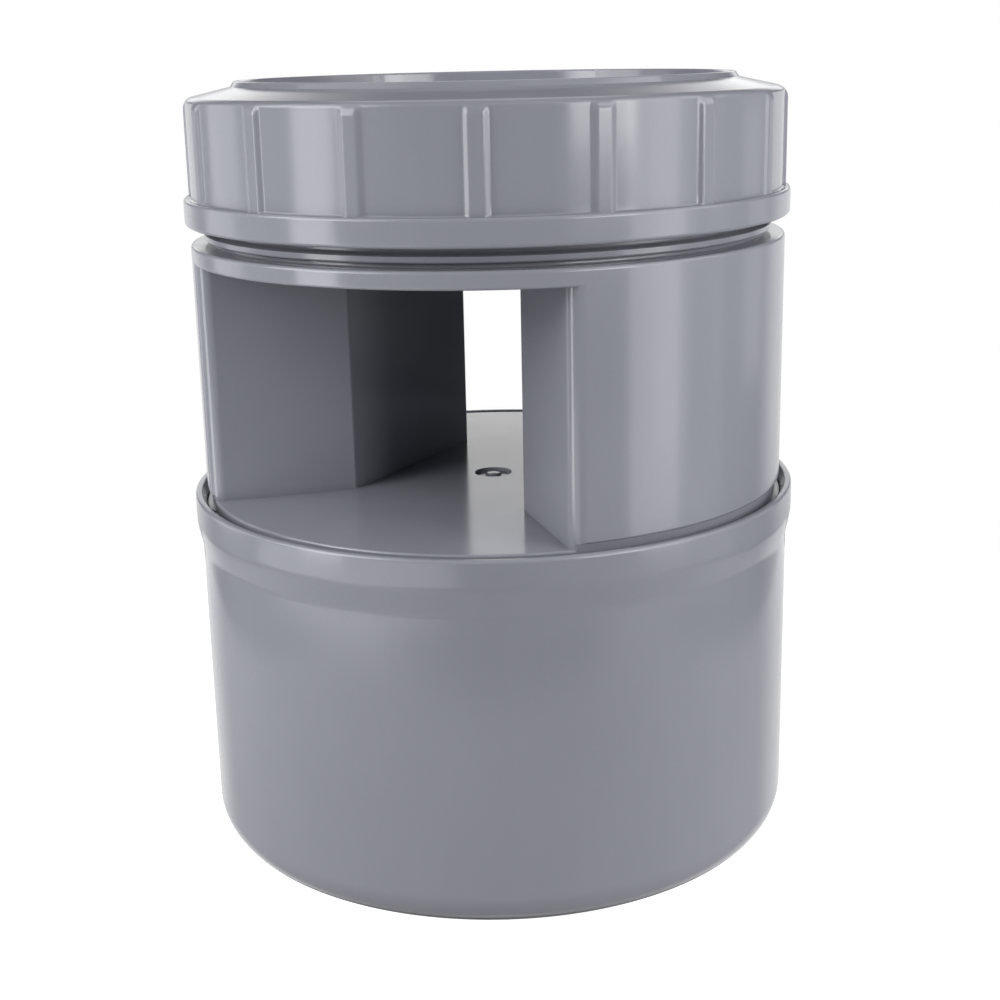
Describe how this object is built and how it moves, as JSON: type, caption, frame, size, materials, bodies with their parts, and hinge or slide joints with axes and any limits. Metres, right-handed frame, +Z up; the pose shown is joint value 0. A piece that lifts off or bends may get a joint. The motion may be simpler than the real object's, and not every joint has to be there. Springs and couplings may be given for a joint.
{
  "type": "air admittance valve",
  "caption": "Air admittance valve for a soil and vent pipe: plain spigot, side air windows between closed ducts, gravity valve disc inside and a ribbed screw cap.",
  "frame": {"origin": "on the valve's axis, at the lower end of the spigot", "axes": "+Z up along the axis towards the cap; the air windows open along +Y and -Y, the closed ducts are on +X and -X"},
  "size_m": [0.1116, 0.1116, 0.1381],
  "materials": {
    "pvc_grey": "satin",
    "grille_black": "matte",
    "guide_white": "satin",
    "disc_white": "satin",
    "rubber_black": "matte"
  },
  "bodies": {
    "housing": {"spigot_base": "pvc_grey", "valve_body": "pvc_grey", "insect_grille": "grille_black", "guide_pin": "guide_white"},
    "valve": {"valve_disc": "disc_white", "disc_seal": "rubber_black", "seal_clamp_ring": "disc_white"},
    "cap_seal": {"cap_gasket": "rubber_black"},
    "cap": {"screw_cap": "pvc_grey"}
  },
  "joints": [
    {"name": "valve_lift", "type": "slide", "parent": "housing", "child": "valve", "axis": [0, 0, 1], "range_m": [0, 0.008]},
    {"name": "cap_rise", "type": "slide", "parent": "housing", "child": "cap_seal", "axis": [0, 0, 1], "range_m": [0, 0.0176]},
    {"name": "cap_turn", "type": "hinge", "parent": "cap_seal", "child": "cap", "pos_m": [0, 0, 0.125], "axis": [0, 0, 1], "range_deg": [0, 1260]}
  ],
  "couplings": [
    {"joint": "cap_rise", "follows": "cap_turn", "m_per_rad": 0.00079577}
  ]
}
